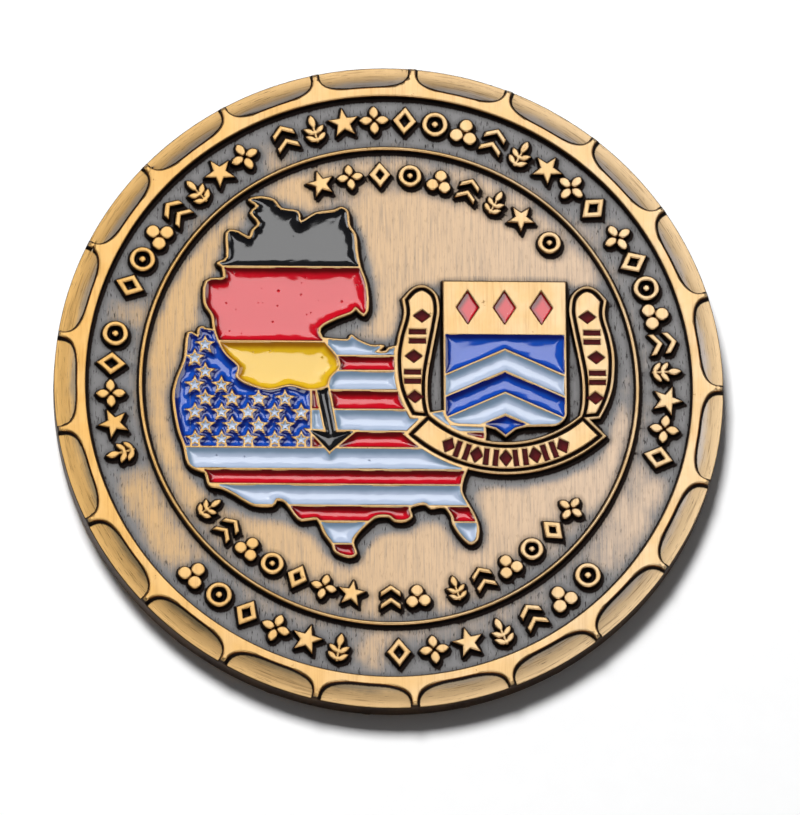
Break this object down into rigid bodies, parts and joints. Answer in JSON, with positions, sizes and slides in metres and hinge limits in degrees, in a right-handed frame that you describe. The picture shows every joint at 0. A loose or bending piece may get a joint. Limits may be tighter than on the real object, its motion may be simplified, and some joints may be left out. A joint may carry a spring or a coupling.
{
  "type": "challenge coin",
  "caption": "Round die-struck antique brass medal with a scooped rim, ring bands of raised ornament, two flag-coloured maps, a shield and a banner in soft enamel.",
  "frame": {"origin": "centre of the coin's back, on the plane of the back rim that it lies on", "axes": "+Z out of the front face, along the coin's axis; +Y towards the top of the picture; +X to the right of the picture"},
  "size_m": [0.0444, 0.0444, 0.0026],
  "materials": {
    "antique_brass": "die-struck brass with an antique finish: dark patina in the recesses, bright rubbed relief, upright brushing in the fields",
    "black_enamel": "glossy cured soft enamel",
    "red_enamel": "glossy cured soft enamel with small pits",
    "yellow_enamel": "glossy cured soft enamel",
    "blue_enamel": "glossy cured soft enamel",
    "white_enamel": "glossy cured soft enamel, slightly bluish white",
    "dark_red_enamel": "thin glossy cured enamel"
  },
  "bodies": {
    "root": {"coin_body": "antique_brass", "upper_map_black": "black_enamel", "upper_map_red": "red_enamel", "upper_map_yellow": "yellow_enamel", "arrow_black": "black_enamel", "canton_blue": "blue_enamel", "canton_stars": "white_enamel", "stripe_01_white": "white_enamel", "stripe_02_red": "red_enamel", "stripe_03_white": "white_enamel", "stripe_04_red": "red_enamel", "stripe_05_white": "white_enamel", "stripe_06_red": "red_enamel", "stripe_07_white": "white_enamel", "stripe_08_red": "red_enamel", "stripe_09_white": "white_enamel", "stripe_10_red": "red_enamel", "south_tip_white": "white_enamel", "south_tip_red": "red_enamel", "peninsula_red": "red_enamel", "peninsula_white": "white_enamel", "arrow_gap_white": "white_enamel", "arrow_gap_reds": "red_enamel", "coast_gap_white": "white_enamel", "coast_gap_red": "red_enamel", "shield_lozenges": "red_enamel", "shield_upper_blue": "blue_enamel", "shield_upper_white": "white_enamel", "shield_middle_blue": "blue_enamel", "shield_lower_whites": "white_enamel", "shield_base_blue": "blue_enamel", "banner_left_marks": "dark_red_enamel", "banner_base_marks": "dark_red_enamel", "banner_right_marks": "dark_red_enamel"}
  },
  "joints": []
}
